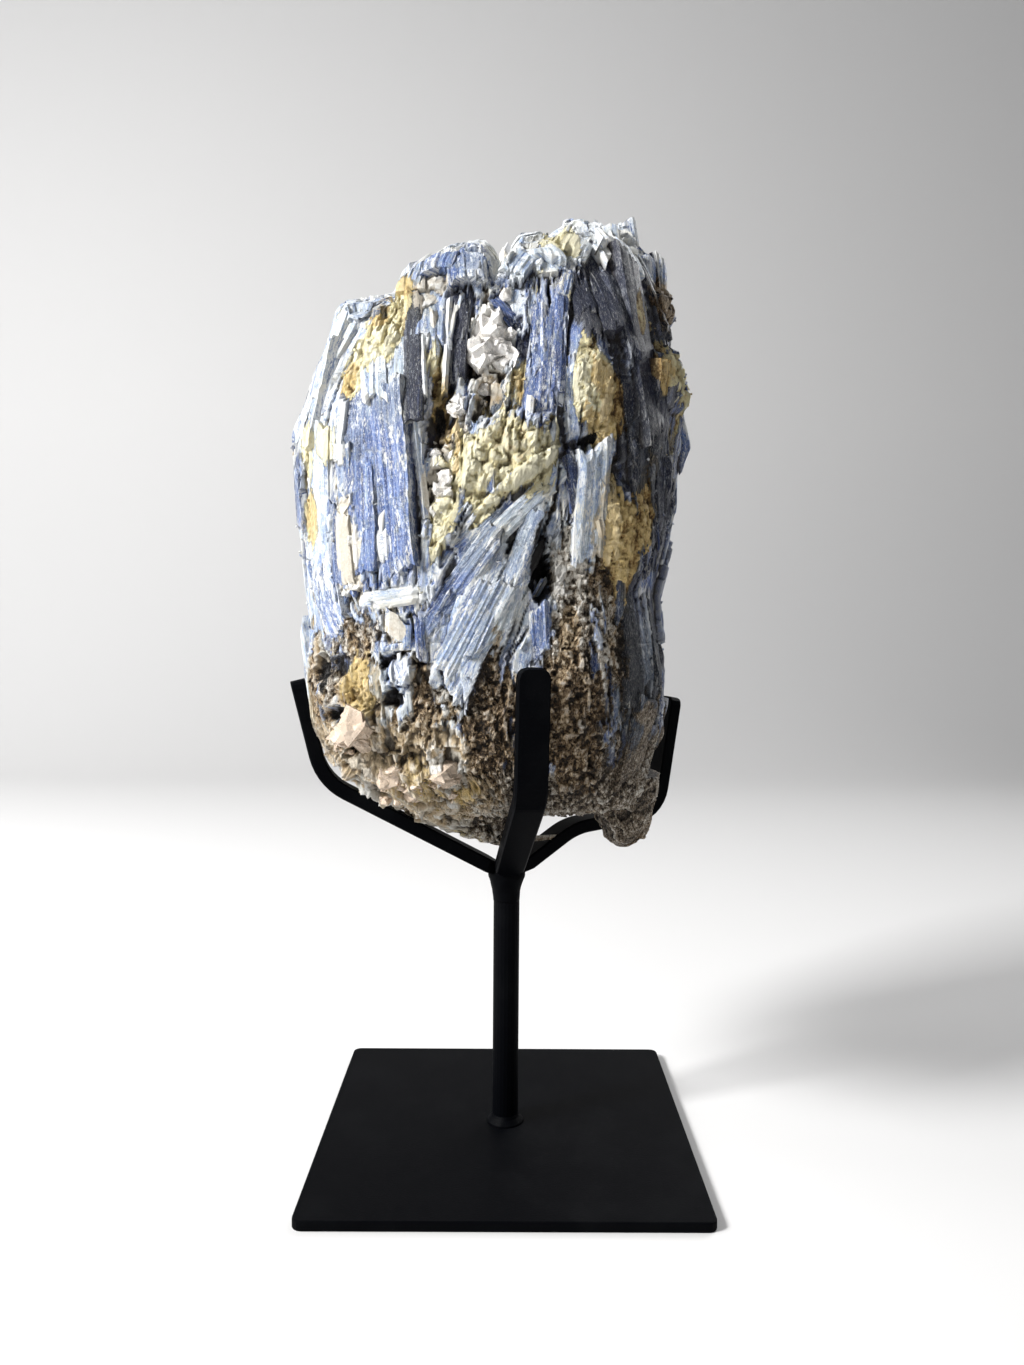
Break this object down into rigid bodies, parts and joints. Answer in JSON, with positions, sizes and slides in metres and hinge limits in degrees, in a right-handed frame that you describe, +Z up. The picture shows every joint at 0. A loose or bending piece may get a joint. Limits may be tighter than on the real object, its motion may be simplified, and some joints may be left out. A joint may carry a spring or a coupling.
{
  "type": "kyanite blade cluster",
  "caption": "Natural cluster of intergrown blue kyanite blades with quartz, feldspar and mica, held upright by bent flat arms on a steel post and square base plate.",
  "frame": {"origin": "centre of the underside of the base plate", "axes": "+Z up along the post, -Y towards the side of the specimen that the picture shows, +X to the right seen from there"},
  "size_m": [0.1411, 0.127, 0.3203],
  "materials": {
    "kyanite": "bladed and pearly, with rough granular patches",
    "black_powder_coat": "matte black powder coat"
  },
  "bodies": {
    "root": {"kyanite_cluster": "kyanite", "base_plate": "black_powder_coat", "post": "black_powder_coat", "arm_left": "black_powder_coat", "arm_front": "black_powder_coat", "arm_right": "black_powder_coat"}
  },
  "joints": []
}
